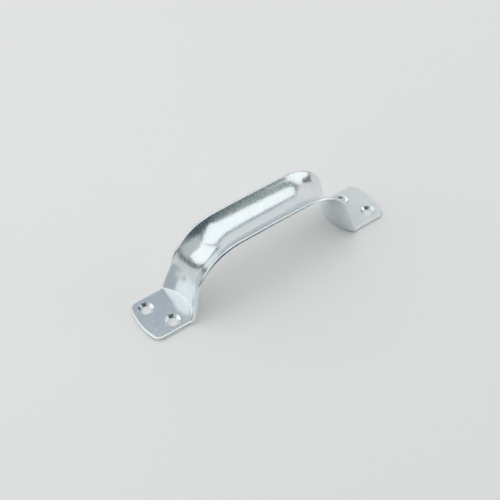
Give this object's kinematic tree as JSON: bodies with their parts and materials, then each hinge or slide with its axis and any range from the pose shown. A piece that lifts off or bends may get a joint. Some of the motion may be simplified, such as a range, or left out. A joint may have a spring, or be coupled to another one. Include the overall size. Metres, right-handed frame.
{
  "type": "utility pull handle",
  "caption": "One-piece pressed sheet-steel pull handle: flat screwed feet, leaning legs and a dished grip with its rims facing outwards, bright zinc plated.",
  "frame": {"origin": "on the door's face, midway between the two feet and on the middle line of the strip", "axes": "+X along the handle from foot to foot, +Z away from the door towards the grip"},
  "size_m": [0.165, 0.032, 0.0444],
  "materials": {
    "zinc_plate": "bright zinc plating, smooth and mirror-like with a faint blue tint"
  },
  "bodies": {
    "root": {"pull_handle": "zinc_plate"}
  },
  "joints": []
}
